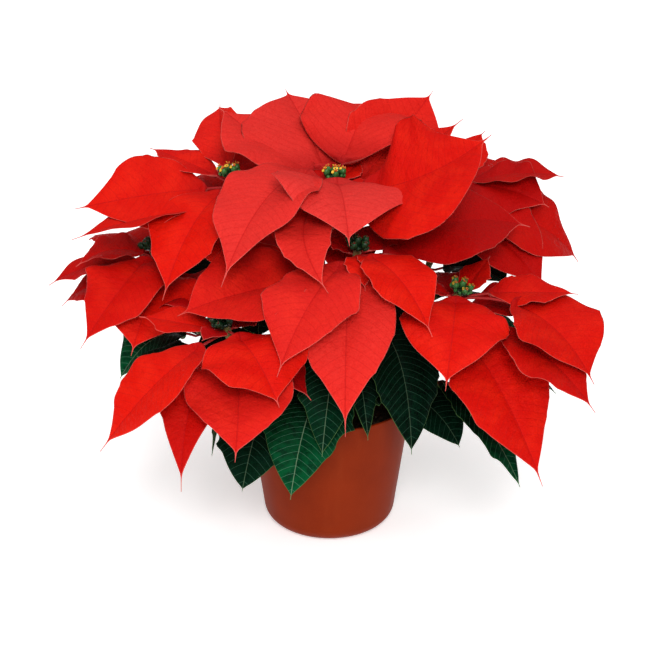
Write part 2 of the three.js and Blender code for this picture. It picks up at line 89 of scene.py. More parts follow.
# Bracts of each head: azimuth, reach, rise, width, arch, shoulder, roll, bend, attach, lobe,
# and for one that isn't the usual one, its fold and its stalk's share of it.
BRACTS = {
    1: [
        (-171, 132, -20, 79, 4, 0.38, -28, 7, 8, 0, 8, 0.2),
        (146, 87, 10, 42, 14, 0.5, 0, 0, 6, 0, 8, 0.18),
        (97.5, 106, 32, 43, 25, 0.5, -30, 6, 5, 0, 24),
        (-117, 114, -68, 76, 14, 0.58, 4, 0, 10, 0.1, 8, 0.13),
        (-159, 139, -36, 51, 18, 0.5, 8, 20, 27, 0, 8, 0.24),
        (51, 84, 11, 70, 16, 0.55, 0, 0, 8, 0),
        (115, 118, -46, 78, 26, 0.6, 0, 0, 34, 0.1),
        (-84, 84, -66, 84, 14, 0.55, 0, 0, 36, 0.1),
        (-32, 84, -64, 76, 16, 0.55, 0, 0, 34, 0.1),
    ],
    2: [
        (143, 124, 40, 80, 30, 0.5, -2, 12, 6, 0),
        (111, 118, 45, 119, 30, 0.5, 0, 0, 8, 0),
        (66, 104, 28, 109, 65, 0.52, 0, 0, 9, 0),
        (42, 114, 54, 84, 42, 0.62, 38, 0, 24, 0),
        (-14, 130, 51, 139, 14, 0.58, 30, -50, 6, 0, 8, 0.2),
        (-84, 110, -14, 104, 31, 0.5, -8, 0, 5, 0.16, 12),
        (-92, 142, -40, 46, 12, 0.6, 0, -44, 10, 0),
        (-60, 58, -4, 26, 12, 0.5, 0, 0, 5, 0),
        (-30, 48, 3, 20, 10, 0.5, 0, 0, 5, 0),
        (150, 34, 8, 18, 8, 0.5, 0, 0, 5, 0),
        (55, 40, 6, 24, 8, 0.5, 0, 0, 5, 0),
        (58, 100, -34, 78, 22, 0.6, 0, 0, 36, 0.1),
        (130, 92, -30, 72, 22, 0.6, 0, 0, 36, 0.1),
        (24, 119, 38, 76, 32, 0.5, 0, 0, 30, 0),
        (-127.5, 146, -46, 88, 58, 0.42, 0, -14, 6, 0, 8, 0.2),
        (-78, 72, -62, 56, 6, 0.55, 0, 0, 40, 0),
    ],
    3: [
        (-120, 124, -60, 78, 14, 0.55, 0, 0, 8, 0),
        (-95, 114, -108, 76, 10, 0.6, 0, -5, 6, 0),
        (-53, 95, -41, 57, 23, 0.63, 0, -6, 5, 0),
        (-168, 146, -44, 110, 15, 0.55, -11, 0, 30, 0, 8, 0.2),
        (18, 150, 2, 98, 54, 0.5, 20, 0, 22, 0.1),
        (-84, 54, -12, 26, 12, 0.5, 0, 0, 5, 0),
        (-62, 42, -5, 20, 10, 0.5, 0, 0, 5, 0),
        (150, 28, 6, 24, 8, 0.5, 0, 0, 6, 0),
        (62, 56, 4, 46, 6, 0.5, 0, 0, 6, 0),
    ],
    4: [
        (-1, 96, 0, 50, 11, 0.5, 4, 0, 5, 0, 8, 0.26),
        (50, 43, 19, 28, 8, 0.5, 0, 0, 6, 0, 8, 0.2),
        (-36, 126, -45, 92, 20, 0.53, 0, 24, 6, 0, 8, 0.34),
        (-41, 135, -62, 62, 26, 0.59, 0, -5, 26, 0, 8, 0.34),
        (-57, 116, -122, 79, 19, 0.65, 4, -19, 32, 0.08, 8, 0.24),
        (-99, 92, -42, 84, 19, 0.51, -2, 4, 5, 0),
        (170, 36, 8, 24, 10, 0.5, 0, 0, 6, 0),
        (20, 104, -40, 66, 20, 0.6, 0, 0, 24, 0),
        (100, 70, -10, 44, 8, 0.5, 0, 0, 10, 0),
    ],
    5: [
        (-146, 115, -77, 66, 14, 0.62, 0, 38, 6, 0, 8, 0.22),
        (-108.4, 99, -96, 44, 19, 0.6, 0, -18, 30, 0),
        (-84, 106, -64, 84, 10, 0.6, 0, 6, 26, 0),
        (-61, 91, -31, 88, 16, 0.6, 0, -5, 5, 0, 8, 0.22),
        (165, 72, 0, 46, 8, 0.5, 0, 0, 8, 0),
        (-122, 32, 0, 22, 8, 0.5, 0, 0, 6, 0),
        (40, 36, 4, 26, 5, 0.5, 0, 0, 5, 0),
        (-24, 74, -50, 52, 6, 0.55, 0, 0, 24, 0),
    ],
    6: [
        (65, 82, 20, 44, 10, 0.52, 4, 12, 6, 0),
        (2, 98, 2, 64, 18, 0.55, 0, 0, 6, 0),
        (-22, 88, -12, 68, 13, 0.55, 20, 0, 5, 0),
        (-17, 114, -62, 90, 26, 0.75, 8, -33, 24, 0),
        (-50, 120, -66, 82, 28, 0.63, 8, -24, 28, 0),
        (45, 112, -24, 80, 26, 0.6, 0, 0, 20, 0.1),
        (90, 116, -30, 84, 28, 0.6, 0, 0, 26, 0),
        (130, 84, 6, 50, 14, 0.5, 0, 0, 8, 0),
    ],
    7: [
        (-97, 96, -54, 92, 14, 0.6, 4, 8, 20, 0),
        (-122, 102, -52, 70, 21, 0.6, 0, 26, 5, 0),
        (-165, 66, -8, 56, 27, 0.5, 0, 0, 10, 0),
        (-176, 90, -30, 56, 18, 0.55, 0, -5, 20, 0),
        (-177, 80, -50, 67, 22, 0.6, 0, 5, 32, 0),
        (118, 98, -30, 70, 20, 0.6, 0, 0, 10, 0.1),
        (95, 96, -40, 66, 24, 0.6, 0, 0, 26, 0),
        (-54, 104, -28, 80, 20, 0.56, 12, 8, 28, 0),
    ],
    8: [
        (90, 118, -30, 88, 22, 0.55, 0, 0, 6, 0.1),
        (140, 108, -34, 80, 18, 0.55, 0, 0, 8, 0),
        (40, 110, -36, 82, 18, 0.55, 0, 0, 10, 0),
        (112, 112, -78, 76, 22, 0.6, 0, 0, 32, 0),
        (66, 108, -80, 74, 22, 0.6, 0, 0, 34, 0),
        (170, 84, -20, 56, 18, 0.55, 0, 0, 20, 0),
        (10, 80, -20, 54, 18, 0.55, 0, 0, 22, 0),
    ],
}

# How far each bract's colour is from plain scarlet, in the rows' order: up to 1 for a pinkish one with
# painted light on it, and down to -1 for a deep crimson one with painted shade on it.
BRACT_PAINTED_LIGHT_AND_SHADE = {
    1: (0.0, 0.1, 0.25, 0.0, -0.3, 0.3, -0.5, 0.0, -0.8),
    2: (0.6, 0.65, 0.5, 0.3, -0.05, 0.9, 0.5, 0.1, -0.5, -0.7, -0.3, -0.5, -0.5, 0.2, 0.65, -0.9),
    3: (0.4, 0.5, 0.0, 0.25, -0.75, -0.2, -0.3, -0.8, -0.9),
    4: (-0.25, -0.45, -0.2, -0.45, -0.1, -0.05, -0.6, -0.8, -0.9),
    5: (0.0, -0.5, 0.3, 0.0, -0.25, -1.0, -0.9, -1.0),
    6: (-0.2, -0.6, -0.75, -0.55, -0.65, -0.5, -0.4, -0.3),
    7: (0.1, -0.35, -0.6, -0.6, -0.7, -0.6, -0.6, -0.95),
    8: (-0.1, 0.2, 0.3, -0.5, -0.4, -0.3, -0.2),
}

# How ripe each head's cups are: 0 for dark green buds, 1 for open cups with yellow glands.
RIPE = {1: 1.0, 2: 0.9, 3: 0.1, 4: 0.45, 5: 0.0, 6: 0.8, 7: 0.1, 8: 0.7}

# How much painted light and painted shade each leaf's green carries, in the rows' order: 1 for a
# fresh, blue-green leaf with painted light, and down to -1 for a nearly black one with painted shade
# inside the bush.
LEAF_PAINTED_LIGHT_AND_SHADE = (
    0.5, 0.0, -0.55, 0.5, -0.15, -1.0, -1.0, -0.65, 0.4, 0.0,
    0.2, 0.3, 0.0, 0.1, 0.2, -0.1, -0.8, -0.8, -0.8, -0.6,
    -0.6, -0.5, -0.5, -1.0, -0.9, -1.0, -1.0, -0.9, -0.9, -0.8,
)

# Green leaves: branch, share along it, tip x, y, z, width, arch, shoulder, roll, bend, lobe.
LEAVES = [
    (7, 0.72, -177, 8, 124, 58, 26, 0.55, 0, 0, 0.1),
    (5, 0.86, -97, -54, 84, 40, 20, 0.5, 0, 3, 0.1),
    (5, 0.58, -70, -104, 78, 57, 5, 0.5, -15, 0, 0.12),
    (3, 0.3, -31, -120, 80, 67, 36, 0.6, 0, -1, 0.14),
    (3, 0.8, -6, -110, 113, 46, 20, 0.6, 0, 0, 0.1),
    (3, 0.66, 31, -82, 113, 24, 24, 0.6, 0, 0, 0.1),
    (3, 0.95, 66, -86, 102, 65, 15, 0.5, 6, 25, 0.14),
    (4, 0.42, 107, -55, 92, 50, 8, 0.6, 10, 4, 0.1),
    (4, 0.74, 152, -107, 84, 33, 0, 0.6, 0, 3, 0.06),
    (4, 0.76, 190, -8, 118, 62, 16, 0.6, -2, 0, 0.14),
    (6, 0.45, 178, 62, 130, 62, 26, 0.55, 0, 0, 0.14),
    (6, 0.62, 142, 150, 130, 60, 16, 0.55, 0, 0, 0.14),
    (8, 0.4, 50, 162, 118, 60, 26, 0.55, 0, 0, 0.14),
    (8, 0.62, -36, 190, 112, 60, 10, 0.55, 0, 0, 0.14),
    (1, 0.4, -56, 136, 118, 62, 26, 0.55, 0, 0, 0.14),
    (7, 0.5, -126, 122, 114, 60, 22, 0.55, -4, 3, 0.14),
    (2, 0.8, -12, -22, 190, 54, 20, 0.55, 0, 0, 0.12),
    (2, 0.7, 78, -6, 188, 68, 18, 0.55, 0, 0, 0.12),
    (1, 0.7, -58, -22, 176, 64, 18, 0.55, 0, 0, 0.12),
    (2, 0.9, 30, 128, 206, 62, 20, 0.55, 0, 0, 0.12),
    (2, 0.75, -62, 118, 186, 62, 22, 0.55, 0, 0, 0.12),
    (6, 0.85, 150, 44, 196, 62, 20, 0.55, 0, 0, 0.12),
    (1, 0.75, -128, 114, 204, 58, 8, 0.55, -8, 0, 0.12),
    (5, 0.92, -92, 6, 172, 54, 18, 0.55, 0, 0, 0.12),
    (4, 0.92, 158, 8, 160, 68, 20, 0.55, 0, 0, 0.12),
    (3, 0.55, -54, -74, 150, 56, 18, 0.55, 0, 0, 0.12),
    (4, 0.26, 40, -70, 138, 46, 22, 0.55, 4, -3, 0.12),
    (2, 0.86, 92, 52, 200, 46, 6, 0.55, 0, 0, 0.12),
    (4, 0.95, 112, -92, 140, 24, 10, 0.6, -8, 11, 0.12),
    (5, 0.95, -158, -24, 160, 50, 14, 0.55, -2, 0, 0.12),
]


# ---------------------------------------------------------------- small helpers
def smooth(low, high, x):
    t = np.clip((x - low) / (high - low), 0, 1)
    return t * t * (3 - 2 * t)


def bell(x, width):
    """1 where x is 0, fading to nothing over a few widths on both sides."""
    return np.exp(-((x / width) ** 2))


def unit(v):
    return v / np.linalg.norm(v, axis=-1, keepdims=True)


def level(angle):
    """The level direction at an angle about Z."""
    return np.array([math.cos(angle), math.sin(angle), 0])


def axis_of(head):
    """Where a head's axis points: up, leaning away from the middle of the plant."""
    (x, y, _), lean = HEADS[head]
    lean = math.radians(lean)
    far = math.hypot(x, y)
    return np.array([x / far * math.sin(lean), y / far * math.sin(lean), math.cos(lean)])


def on_axis(head, above):
    return np.array(HEADS[head][0], float) + above * axis_of(head)


def branch_points(head):
    """The four control points of a branch's centre line, from the trunk to its head's axis."""
    foot = on_axis(head, -AXIS["length"] - GAP)
    start = np.array([0, 0, TRUNK["top"] - BRANCH["below_top"]], float)
    climb = foot[2] - start[2]
    out = foot * BRANCH["out_share"]
    out[2] = start[2] + BRANCH["climb_share"] * climb
    under = foot - BRANCH["under_share"] * climb * axis_of(head)
    return start, out, under, foot


def cubic(points, u):
    a, b, c, d = points
    u = np.asarray(u, float)[..., None]
    return (1 - u) ** 3 * a + 3 * u * (1 - u) ** 2 * b + 3 * u ** 2 * (1 - u) * c + u ** 3 * d


def cubic_tangent(points, u):
    a, b, c, d = points
    return unit(3 * (1 - u) ** 2 * (b - a) + 6 * u * (1 - u) * (c - b) + 3 * u ** 2 * (d - c))


def add_object(name, data):
    made = bpy.data.objects.new(name, data)
    bpy.context.scene.collection.objects.link(made)
    return made


class Piece:
    """Gathers points, faces, material numbers and per-point fields, and makes one object."""

    def __init__(self):
        self.points = []
        self.faces = []
        self.slots = []
        self.fields = {}
        self.count = 0

    def add(self, points, faces, material=0, **fields):
        points = np.asarray(points, float).reshape(-1, 3)
        self.points.append(points)
        self.faces += [tuple(int(i) + self.count for i in face) for face in faces]
        self.slots += [material] * len(faces)
        for name, values in fields.items():
            self.fields.setdefault(name, []).append(np.broadcast_to(values, (len(points), 3)))
        self.count += len(points)

    def mesh(self, name):
        mesh = bpy.data.meshes.new(name)
        points = np.concatenate(self.points) * MM
        mesh.from_pydata(points.tolist(), [], self.faces)
        return mesh

    def make(self, name, materials, nodes):
        mesh = self.mesh(name)
        mesh.polygons.foreach_set("use_smooth", [True] * len(mesh.polygons))
        mesh.polygons.foreach_set("material_index", self.slots)
        for key, values in self.fields.items():
            field = mesh.attributes.new(key, "FLOAT_VECTOR", "POINT")
            field.data.foreach_set("vector", np.concatenate(values).astype(np.float32).ravel())
        for material in materials:
            mesh.materials.append(material)
        mesh.validate()
        mesh.update()
        piece = add_object(name, mesh)
        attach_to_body(piece, "root")
        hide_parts(*nodes)
        return piece


def turns_round(around):
    """The angles of evenly spaced points round a ring."""
    return np.arange(around) / around * FULL_TURN


def ring_faces(rings, around):
    """Quads between rings of points, with an end face at each end."""
    faces = []
    for i in range(rings - 1):
        near, far = i * around, (i + 1) * around
        for j in range(around):
            k = (j + 1) % around
            faces.append((near + j, far + j, far + k, near + k))
    faces.append(tuple(range(around)))
    faces.append(tuple((rings - 1) * around + j for j in reversed(range(around))))
    return faces


def lathe(profile, around, place=None, wave=None):
    """A profile of (radius, height), from the axis at the bottom round to the axis at the top."""
    profile = np.asarray(profile, float)
    turn = turns_round(around)
    inner = profile[1:-1]
    radius = inner[:, :1] * (1 if wave is None else wave(turn)[None, :])
    heights = np.repeat(inner[:, 1:], around, 1)
    ring = np.stack([radius * np.cos(turn), radius * np.sin(turn), heights], -1)
    points = np.concatenate([[[0, 0, profile[0, 1]]], ring.reshape(-1, 3), [[0, 0, profile[-1, 1]]]])
    faces = []
    last = 1 + (len(inner) - 1) * around
    for j in range(around):
        k = (j + 1) % around
        faces.append((0, 1 + k, 1 + j))
        faces.append((len(points) - 1, last + j, last + k))
        for i in range(len(inner) - 1):
            low, high = 1 + i * around, 1 + (i + 1) * around
            faces.append((low + j, low + k, high + k, high + j))
    if place is not None:
        matrix, shift = place
        points = points @ np.asarray(matrix).T + shift
    return points, faces


def standing(direction):
    """A turn that takes +Z to the given direction, as a 3 by 3 matrix."""
    z = unit(np.asarray(direction, float))
    near_x = abs(z[0]) >= 0.8
    helper = np.array([0, 1.0, 0]) if near_x else np.array([1.0, 0, 0])
    x = unit(np.cross(helper, z))
    return np.stack([x, np.cross(z, x), z], 1)


# A direction that no stem or stalk runs along.
ODD_WAY = [0.31, 0.95, 0.05]


def tube(centres, radii, around):
    """A tube through centres, its radius changing along it."""
    centres = np.asarray(centres, float)
    ahead = unit(np.gradient(centres, axis=0))
    side = unit(np.cross(ahead, ODD_WAY))
    up = np.cross(side, ahead)
    turn = -turns_round(around)
    spread = side[:, None] * np.cos(turn)[None, :, None] + up[:, None] * np.sin(turn)[None, :, None]
    points = centres[:, None] + spread * np.asarray(radii, float)[:, None, None]
    return points.reshape(-1, 3), ring_faces(len(centres), around)


# ---------------------------------------------------------------- blades
# What differs between bracts and leaves: the outline's shape, the stalk's share of the line, the
# fold in degrees, the ripple's phase from one blade to the next, the number and height of the
# teeth, the space between side veins, and how strong the rest of the relief is.
BRACT_KIND = {
    "body_end": 0.93, "skew": 0.93, "full": 0.8, "taper": 0.3, "drip": 0.1,
    "stalk": 0.16, "fold": 8, "phase": 1.7, "teeth": 3, "tooth": 2.6,
    "vein_spacing": 9.5, "quilt": 0.55, "wave": 0.07, "curl": (-0.10, 0.03), "dome": 0.03,
    "rib": 0.5, "keel": 1.0,
}
LEAF_KIND = {
    "body_end": 0.97, "skew": 0.95, "full": 0.62, "taper": 0.15, "drip": 0.05,
    "stalk": 0.16, "fold": 10, "phase": 2.1, "teeth": 5, "tooth": 4.2,
    "vein_spacing": 7.5, "quilt": 0.5, "wave": 0.06, "curl": (-0.10, 0.02), "dome": 0.03,
    "rib": 0.6, "keel": 1.1,
}
BLADE_SEEDS = {"bract": 1000, "leaf": 9000, "teeth": 50000}

# Places across half a blade, from its midrib to its margin: close together where it bends most.
HALF_ACROSS = np.array([0, 0.03, 0.07, 0.14, 0.24, 0.36, 0.48, 0.6, 0.72, 0.83, 0.92, 0.975, 1])
ACROSS = np.concatenate([-HALF_ACROSS[:0:-1], HALF_ACROSS])[None, :]
FROM_RIB = np.abs(ACROSS)
STATIONS = {"stalk": 6, "short": 26, "long": 46, "short_below": 70}

# Half a blade's thickness, its least half width, and the share of it in which the stalk flattens.
HALF_THICK = 0.28
NARROWEST = 0.22
FLAT_BY = 0.08
# The widths of the midrib's groove and of the keel under it.
RIB_WIDTH = 1.3
KEEL_WIDTH = 1.2
# How far a blade's middle may rise or sag, as a share of its width.
SAG = 0.02


def outline(t, lobe, kind):
    """Half a blade's width along it, as a share of the widest: a body and a thin drip tip."""
    s = np.minimum(t / kind["body_end"], 1)
    bulge = np.maximum(np.sin(math.pi * np.power(s, kind["skew"])), 0)
    body = np.power(bulge, kind["full"] + kind["taper"] * t)
    drip = kind["drip"] * np.clip((1 - t) / 0.25, 0, 1) ** 1.3
    body = np.cbrt(body ** 3 + (drip * smooth(0.5, 0.8, t)) ** 3)
    return body + lobe * np.maximum(0, 1 - np.abs(t - LOBE["at"]) / LOBE["span"])


def teeth(t, widest, rng, kind):
    """Small pointed corners along one margin, steeper on the side towards the tip."""
    total = np.zeros_like(t)
    for _ in range(kind["teeth"]):
        at = rng.uniform(0.2, 0.78)
        tall = rng.uniform(0.3, 1) * kind["tooth"] / widest
        back, front = rng.uniform(0.06, 0.12), rng.uniform(0.025, 0.05)
        rise = np.where(t < at, 1 - (at - t) / back, 1 - (t - at) / front)
        total += tall * np.maximum(rise, 0) ** 1.5
    return total


def blade_line(foot, tip, azimuth, row, start):
    """A blade's stations: shares of its line, their places, and which way is left and up there."""
    _, arch, shoulder, roll, bend, _ = row
    foot, tip = np.asarray(foot, float), np.asarray(tip, float)
    flat_left = np.array([-math.sin(azimuth), math.cos(azimuth), 0])
    control = foot + (tip - foot) * shoulder
    control[2] = foot[2] + arch
    control = control + flat_left * bend
    length = np.linalg.norm(control - foot) + np.linalg.norm(tip - control)
    on_stalk = np.linspace(0, start, STATIONS["stalk"])[:-1]
    count = STATIONS["short"] if length < STATIONS["short_below"] else STATIONS["long"]
    u = np.concatenate([on_stalk, start + (1 - start) * np.linspace(0, 1, count)])[:, None]
    centre = (1 - u) ** 2 * foot + 2 * u * (1 - u) * control + u ** 2 * tip
    ahead = unit(2 * (1 - u) * (control - foot) + 2 * u * (tip - control))
    left = unit(flat_left - (ahead @ flat_left)[:, None] * ahead)
    turn = np.radians(roll) * smooth(0, ROLL_FULL_BY, u)
    left = left * np.cos(turn) + np.cross(ahead, left) * np.sin(turn)
    up = np.cross(ahead, left)
    return SimpleNamespace(u=u, centre=centre, left=left, up=up, length=length)


def half_widths(t, widest, lobe, kind, rng, edge_rng):
    """Half the blade's width at each station, with lobes and teeth of their own on each margin."""
    left_edge, right_edge = [
        outline(t, lobe * rng.uniform(0.7, 1.1), kind) + teeth(t, widest, edge_rng, kind)
        for _ in range(2)
    ]
    half = widest * np.where(ACROSS >= 0, left_edge, right_edge)
    tapered_stalk = (STALK - 0.25) * (1 - 2.5 * t)
    return np.maximum(half, np.maximum(NARROWEST, tapered_stalk))


def vein_number(t, x, length, widest, kind):
    """Which side vein a point lies on: a whole number on a vein, and a half one between two."""
    lean, curve = 0.45, 0.55
    return (t * length - lean * np.abs(x) - curve * x ** 2 / widest) / kind["vein_spacing"]


def grooves(t, vein, kind, rng):
    """How deep the surface is pinched in along the side veins, more in some patches than others."""
    from_vein = np.abs((vein + 0.5) % 1 - 0.5)
    flesh = smooth(0.02, 0.12, t) * (1 - smooth(0.85, 1.0, t)) * (1 - FROM_RIB ** 4)
    groove = bell(from_vein, 0.16) * flesh
    pinch = kind["quilt"] * rng.uniform(0.5, 1.6)
    patch = 0.65 + 0.35 * np.sin(3.1 * t + 2 * ACROSS + rng.uniform(0, 6))
    return pinch * patch * groove


def margin_waves(t, kind, rng):
    """Waves of the two margins, as a share of the half width."""
    counts = rng.uniform(2.2, 3.6), rng.uniform(2.2, 3.6)
    starts = rng.uniform(0, 6.28, 2)
    left, right = [np.sin(FULL_TURN * counts[i] * t + starts[i]) for i in range(2)]
    wave = np.where(ACROSS >= 0, left, right) * kind["wave"] * rng.uniform(0.6, 1.3)
    return wave * smooth(0.05, 0.3, t) * FROM_RIB ** 2.4


def blade_height(t, x, half, vein, blend, row, kind, index, rng):
    """How high the middle of the blade's thickness lies over its line, at each point."""
    pinched = grooves(t, vein, kind, rng)
    fold = math.tan(math.radians(kind["fold"]))
    ripple = RIPPLE["share"] * np.sin(RIPPLE["rate"] * t + kind["phase"] * index)
    ripple = ripple * smooth(0, RIPPLE["full_by"], t)
    wave = margin_waves(t, kind, rng)
    curl = rng.uniform(*kind["curl"]) * FROM_RIB ** 3
    dome = kind["dome"] * (FROM_RIB - FROM_RIB ** 2) * 4 * smooth(0, 0.2, t)
    height = np.abs(x) * fold + half * (ACROSS * ripple + wave + curl + dome)
    height = height * blend - pinched * blend
    height = height - kind["rib"] * (1 - 0.7 * t) * bell(x, RIB_WIDTH) * blend
    sag = rng.uniform(-1, 1) * SAG * row[0] * np.sin(math.pi * t) ** 2
    return height + sag


def both_sides(upper, under=None):
    """Values round a section: across its upper side, and back across its under side."""
    under = upper if under is None else under
    return np.concatenate([upper, under[:, -2:0:-1]], 1)


def blade(piece, foot, tip, azimuth, row, kind, index, seed, tone, root=None):
    """Adds one bract or leaf: a stalk, and a thin blade with veins, waves and a pointed tip."""
    rng = np.random.default_rng(seed)
    edge_rng = np.random.default_rng(seed + BLADE_SEEDS["teeth"])
    start, widest, lobe = kind["stalk"], row[0] / 2, row[-1]
    line = blade_line(foot, tip, azimuth, row, start)
    if root is not None:
        line.centre[0] = root
    share = (line.u - start) / (1 - start)
    t = np.clip(share, 0, 1)
    half = half_widths(t, widest, lobe, kind, rng, edge_rng)
    x = ACROSS * half
    vein = vein_number(t, x, line.length, widest, kind)
    blend = smooth(0.0, FLAT_BY, t)
    height = blade_height(t, x, half, vein, blend, row, kind, index, rng)

    stalk_half = half * np.sqrt(np.maximum(1 - ACROSS ** 2, 0))
    thick = stalk_half * (1 - blend) + HALF_THICK * np.sqrt(1 - FROM_RIB ** 8) * blend
    keel = kind["keel"] * (1 - t) ** 0.8 * bell(x, KEEL_WIDTH) * blend
    at_margin = FROM_RIB >= 1
    top = height + np.where(at_margin, 0, thick)
    bottom = height - np.where(at_margin, 0, thick + keel)
    across, lift = both_sides(x), both_sides(top, bottom)
    points = line.centre[:, None] + line.left[:, None] * across[..., None]
    points = points + line.up[:, None] * lift[..., None]

    along, share = [both_sides(np.broadcast_to(value, x.shape)) for value in (t * line.length, share)]
    margin = both_sides((1 - FROM_RIB) * half)
    under = both_sides(np.zeros_like(x), np.ones_like(x))
    piece.add(
        points,
        ring_faces(len(line.u), across.shape[1]),
        flat=np.stack([along, across, share], -1).reshape(-1, 3),
        marks=np.stack([both_sides(vein), margin, under], -1).reshape(-1, 3),
        # The second number is this blade's painted light and shade, from its table.
        tint=[rng.uniform(), tone, 0.0],
    )


# ---------------------------------------------------------------- materials
class Graph:
    """A material's nodes, made by short calls that pass sockets, numbers or linear colours."""

    def __init__(self, name, **settings):
        self.material = bpy.data.materials.new(name)
        self.material.use_nodes = True
        self.tree = self.material.node_tree
        self.shader = self.tree.nodes["Principled BSDF"]
        self.output = self.tree.nodes["Material Output"]
        for key, value in settings.items():
            self.put(self.shader.inputs[key.replace("_", " ")], value)

    def put(self, socket, value):
        if isinstance(value, bpy.types.NodeSocket):
            self.tree.links.new(value, socket)
        elif value is not None:
            socket.default_value = (*value, 1.0) if socket.type == "RGBA" else value

    def node(self, kind, inputs=(), **settings):
        made = self.tree.nodes.new("ShaderNode" + kind)
        for key, value in settings.items():
            setattr(made, key, value)
        for key, value in dict(inputs).items():
            self.put(made.inputs[key], value)
        return made

    def math(self, operation, *values):
        return self.node("Math", enumerate(values), operation=operation).outputs[0]

    def times(self, a, b):
        return self.math("MULTIPLY", a, b)

    def ramp(self, value, low, high, out_low=0.0, out_high=1.0):
        settings = {"Value": value, "From Min": low, "From Max": high}
        settings.update({"To Min": out_low, "To Max": out_high})
        return self.node("MapRange", settings, interpolation_type="SMOOTHSTEP").outputs[0]

    def mix(self, share, a, b):
        """Mixes two colours: a where the share is 0 and b where it is 1."""
        return self.node("Mix", {0: share, 6: a, 7: b}, data_type="RGBA").outputs[2]

    def layers(self, colour, layers):
        """Lays paints over a colour one by one, each as thick as its mask says."""
        for mask, paint in layers:
            colour = self.mix(mask, colour, paint)
        return colour

    def field(self, name):
        read = self.node("Attribute", attribute_name=name, attribute_type="GEOMETRY")
        parts = self.node("SeparateXYZ", {"Vector": read.outputs["Vector"]})
        return read.outputs["Vector"], parts.outputs

    def place(self):
        return self.node("TexCoord").outputs["Object"]

    def stretched(self, x, y, z):
        return self.node("Mapping", {"Vector": self.place(), "Scale": (x, y, z)}).outputs[0]

    def noise(self, vector, scale, detail, roughness=0.55):
        inputs = {"Vector": vector, "Scale": scale, "Detail": detail, "Roughness": roughness}
        return self.node("TexNoise", inputs).outputs[0]

    def cells(self, vector, scale, feature="F1"):
        made = self.node("TexVoronoi", {"Vector": vector, "Scale": scale}, feature=feature)
        return made.outputs["Distance"]

    def bump(self, height, strength, distance):
        inputs = {"Height": height, "Strength": strength, "Distance": distance}
        return self.node("Bump", inputs).outputs[0]

    def finish(self, colour, roughness=None, normal=None):
        self.put(self.shader.inputs["Base Color"], colour)
        self.put(self.shader.inputs["Roughness"], roughness)
        self.put(self.shader.inputs["Normal"], normal)
        return self.material

    def let_light_through(self, share, colour):
        """Mixes in a share of light that comes through a thin blade from behind."""
        glow = self.node("BsdfTranslucent", {"Color": colour})
        mixed = self.node("MixShader", {0: share, 1: self.shader.outputs[0], 2: glow.outputs[0]})
        self.tree.links.new(mixed.outputs[0], self.output.inputs["Surface"])


def blade_masks(g, vein_width, rib_low, rib_high):
    """Shared by bracts and leaves: where veins, midrib, margin, underside and stalk lie, and the masks
    of painted light and painted shade.
    """
    flat, (_, across, share) = g.field("flat")
    _, (vein, margin, under) = g.field("marks")
    _, (tint, tone, _) = g.field("tint")
    half_past_whole = g.math("FRACT", g.math("ADD", vein, 100.5))
    off_vein = g.math("ABSOLUTE", g.math("SUBTRACT", half_past_whole, 0.5))
    return SimpleNamespace(
        flat=flat, share=share, margin=margin, under=under, tint=tint, tone=tone,
        veins=g.ramp(off_vein, vein_width, 0.0),
        rib=g.ramp(g.math("ABSOLUTE", across), rib_high, rib_low),
        stalk=g.ramp(share, 0.06, -0.04),
        # Masks of the painted light and of the painted shade, from the blade's value in its table.
        bright=g.ramp(tone, 0.0, 1.0),
        shaded=g.ramp(tone, 0.0, -1.0),
    )


def blade_relief(g, masks, grain, quilts):
    """A blade's net of fine cells, and its relief in millimetres: quilts, grain, cells and veins."""
    net = g.ramp(g.cells(masks.flat, 0.5, "DISTANCE_TO_EDGE"), 0.12, 0.0)
    height = g.times(g.noise(masks.flat, 0.13, 2.0), quilts)
    height = g.math("ADD", height, g.times(grain, 0.25))
    height = g.math("SUBTRACT", height, g.times(net, 0.05))
    height = g.math("SUBTRACT", height, g.times(masks.veins, 0.12))
    return net, g.bump(height, 1.0, MM)


def bract_material():
    g = Graph(
        "bract_red", Specular_IOR_Level=0.05, Roughness=0.55,
        Sheen_Weight=0.02, Sheen_Roughness=0.4, Sheen_Tint=(1.0, 0.35, 0.32),
    )
    masks = blade_masks(g, vein_width=0.07, rib_low=0.2, rib_high=0.9)
    cloud = g.noise(masks.flat, 0.035, 2.0)
    mottle = g.noise(masks.flat, 0.5, 4.0)
    net, normal = blade_relief(g, masks, mottle, quilts=1.5)
    dapple = g.times(g.ramp(mottle, 0.42, 0.75), 0.3)
    # Painted shade: each bract darkens towards its base, where the bracts above shade it.
    base = g.ramp(masks.share, 0.3, 0.0, 0.0, 0.5)
    rim = g.times(g.ramp(masks.margin, 0.8, 0.1), 0.6)
    colour = g.mix(masks.tint, (0.66, 0.0065, 0.0015), (0.60, 0.0045, 0.002))
    colour = g.layers(colour, [
        (g.ramp(cloud, 0.4, 0.7), (0.70, 0.011, 0.003)),
        # A pinkish painted highlight where the bract's table puts light, and deep crimson painted
        # shade where it puts shade.
        (masks.bright, (0.70, 0.036, 0.030)),
        (masks.shaded, (0.36, 0.0012, 0.0018)),
        (dapple, (0.50, 0.003, 0.003)),
        (g.times(net, 0.12), (0.45, 0.003, 0.003)),
        (g.times(masks.veins, 0.32), (0.46, 0.004, 0.005)),
        (g.times(masks.rib, 0.5), (0.42, 0.004, 0.005)),
        # The painted shade at the blade's base.
        (base, (0.26, 0.0012, 0.003)),
        (rim, (0.80, 0.17, 0.14)),
        (g.times(masks.under, 0.5), (0.40, 0.010, 0.010)),
        (g.times(masks.stalk, 0.8), (0.36, 0.015, 0.018)),
    ])
    g.let_light_through(0.1, colour)
    return g.finish(colour, g.ramp(mottle, 0.3, 0.7, 0.5, 0.62), normal)


